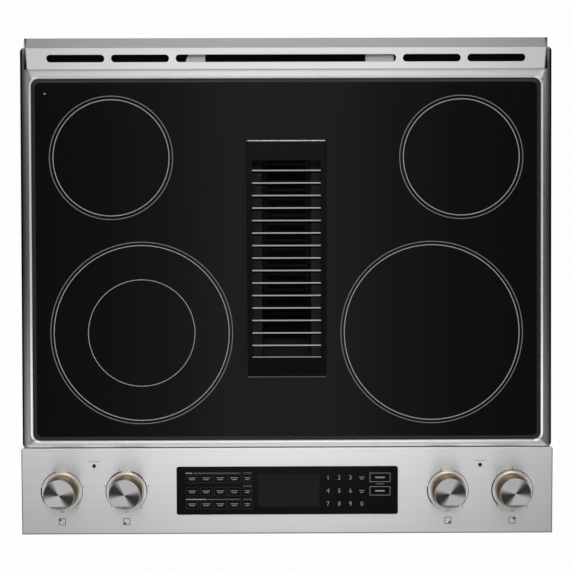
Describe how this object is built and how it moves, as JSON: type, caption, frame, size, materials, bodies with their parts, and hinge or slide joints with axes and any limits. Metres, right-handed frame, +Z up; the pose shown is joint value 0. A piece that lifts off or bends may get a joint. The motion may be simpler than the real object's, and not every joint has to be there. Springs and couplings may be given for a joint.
{
  "type": "downdraft range",
  "caption": "Slide-in electric range with a black glass cooktop, a louvred downdraft vent down its middle, a front knob and touch console, and a convection oven below.",
  "frame": {"origin": "on the floor under the middle of the range's outline", "axes": "+X to the user's right, +Y towards the wall, +Z up"},
  "size_m": [0.761, 0.735, 0.9435],
  "materials": {
    "stainless": "brushed",
    "black_enamel": "satin enamel",
    "galvanised": "zinc coated",
    "black_glass": "polished opaque black",
    "window_glass": "tinted",
    "lamp_glass": "clear",
    "oven_enamel": "speckled enamel",
    "grille_black": "matte black",
    "fibre": "mineral fibre",
    "element_steel": "oxidised",
    "plated_wire": "bright",
    "filter_mesh": "mesh",
    "motor_steel": "satin",
    "switch_plastic": "moulded",
    "red_lens": "moulded"
  },
  "bodies": {
    "chassis": {"side_panel_left": "black_enamel", "side_panel_right": "black_enamel", "back_panel": "galvanised", "base_pan": "galvanised", "front_frame": "black_enamel", "toe_panel": "stainless", "terminal_cover": "galvanised", "cooktop_frame": "stainless", "cooktop_glass": "black_glass", "burner_tray": "galvanised", "burner_dishes": "fibre", "burner_ribbons": "element_steel", "vent_plenum": "galvanised", "grease_filter": "filter_mesh", "rear_duct": "galvanised", "duct_elbow": "galvanised", "blower_housing": "galvanised", "blower_motor": "motor_steel", "exhaust_collar": "galvanised", "rear_vent_trim": "stainless", "vent_trim_tabs": "stainless", "control_console": "stainless", "touch_panel": "black_glass", "control_board": "switch_plastic", "indicator_lenses": "red_lens", "knob_bezels": "stainless", "heat_switches": "switch_plastic", "oven_cavity": "oven_enamel", "oven_insulation": "fibre", "oven_racks": "plated_wire", "broil_element": "element_steel", "bake_element": "element_steel", "convection_element": "element_steel", "convection_motor": "motor_steel", "convection_cover": "oven_enamel", "oven_lamp": "lamp_glass", "door_gasket": "fibre", "hinge_receivers": "galvanised"},
    "door": {"door_skin": "stainless", "door_outer_glass": "window_glass", "door_liner": "oven_enamel", "door_inner_glass": "window_glass", "door_handle": "stainless", "handle_posts": "stainless", "door_hinges": "galvanised"},
    "grille": {"vent_grille": "grille_black"},
    "fan": {"convection_fan": "motor_steel"},
    "blower": {"blower_wheel": "galvanised"},
    "leg_front_left": {"leg_front_left": "galvanised"},
    "leg_front_right": {"leg_front_right": "galvanised"},
    "leg_rear_left": {"leg_rear_left": "galvanised"},
    "leg_rear_right": {"leg_rear_right": "galvanised"},
    "rotor_rear_left": {"switch_rotor_rear_left": "switch_plastic"},
    "knob_rear_left": {"knob_rear_left": "stainless"},
    "rotor_front_left": {"switch_rotor_front_left": "switch_plastic"},
    "knob_front_left": {"knob_front_left": "stainless"},
    "rotor_front_right": {"switch_rotor_front_right": "switch_plastic"},
    "knob_front_right": {"knob_front_right": "stainless"},
    "rotor_rear_right": {"switch_rotor_rear_right": "switch_plastic"},
    "knob_rear_right": {"knob_rear_right": "stainless"}
  },
  "joints": [
    {"name": "door_hinge", "type": "hinge", "parent": "chassis", "child": "door", "pos_m": [0, -0.3, 0.175], "axis": [1, 0, 0], "range_deg": [0, 90], "stiffness_Nm_per_rad": 30, "springref_deg": -11.46},
    {"name": "grille_lift", "type": "slide", "parent": "chassis", "child": "grille", "axis": [0, 0, 1], "range_m": [0, 0.08]},
    {"name": "fan_spin", "type": "hinge", "parent": "chassis", "child": "fan", "pos_m": [0, 0.16, 0.495], "axis": [0, 1, 0], "continuous": true},
    {"name": "blower_spin", "type": "hinge", "parent": "chassis", "child": "blower", "pos_m": [-0.05, 0.13, 0.1], "axis": [0, 0, 1], "continuous": true},
    {"name": "leg_front_left_adjust", "type": "slide", "parent": "chassis", "child": "leg_front_left", "axis": [0, 0, 1], "range_m": [-0.02, 0]},
    {"name": "leg_front_right_adjust", "type": "slide", "parent": "chassis", "child": "leg_front_right", "axis": [0, 0, 1], "range_m": [-0.02, 0]},
    {"name": "leg_rear_left_adjust", "type": "slide", "parent": "chassis", "child": "leg_rear_left", "axis": [0, 0, 1], "range_m": [-0.02, 0]},
    {"name": "leg_rear_right_adjust", "type": "slide", "parent": "chassis", "child": "leg_rear_right", "axis": [0, 0, 1], "range_m": [-0.02, 0]},
    {"name": "knob_rear_left_turn", "type": "hinge", "parent": "chassis", "child": "rotor_rear_left", "pos_m": [-0.323, -0.278, 0.91491], "axis": [0, -0.0262, 0.9997], "continuous": true},
    {"name": "knob_rear_left_push", "type": "slide", "parent": "rotor_rear_left", "child": "knob_rear_left", "axis": [0, 0.0262, -0.9997], "range_m": [0, 0.003], "stiffness_N_per_m": 800},
    {"name": "knob_front_left_turn", "type": "hinge", "parent": "chassis", "child": "rotor_front_left", "pos_m": [-0.2305, -0.278, 0.91491], "axis": [0, -0.0262, 0.9997], "continuous": true},
    {"name": "knob_front_left_push", "type": "slide", "parent": "rotor_front_left", "child": "knob_front_left", "axis": [0, 0.0262, -0.9997], "range_m": [0, 0.003], "stiffness_N_per_m": 800},
    {"name": "knob_front_right_turn", "type": "hinge", "parent": "chassis", "child": "rotor_front_right", "pos_m": [0.2305, -0.278, 0.91491], "axis": [0, -0.0262, 0.9997], "continuous": true},
    {"name": "knob_front_right_push", "type": "slide", "parent": "rotor_front_right", "child": "knob_front_right", "axis": [0, 0.0262, -0.9997], "range_m": [0, 0.003], "stiffness_N_per_m": 800},
    {"name": "knob_rear_right_turn", "type": "hinge", "parent": "chassis", "child": "rotor_rear_right", "pos_m": [0.323, -0.278, 0.91491], "axis": [0, -0.0262, 0.9997], "continuous": true},
    {"name": "knob_rear_right_push", "type": "slide", "parent": "rotor_rear_right", "child": "knob_rear_right", "axis": [0, 0.0262, -0.9997], "range_m": [0, 0.003], "stiffness_N_per_m": 800}
  ]
}
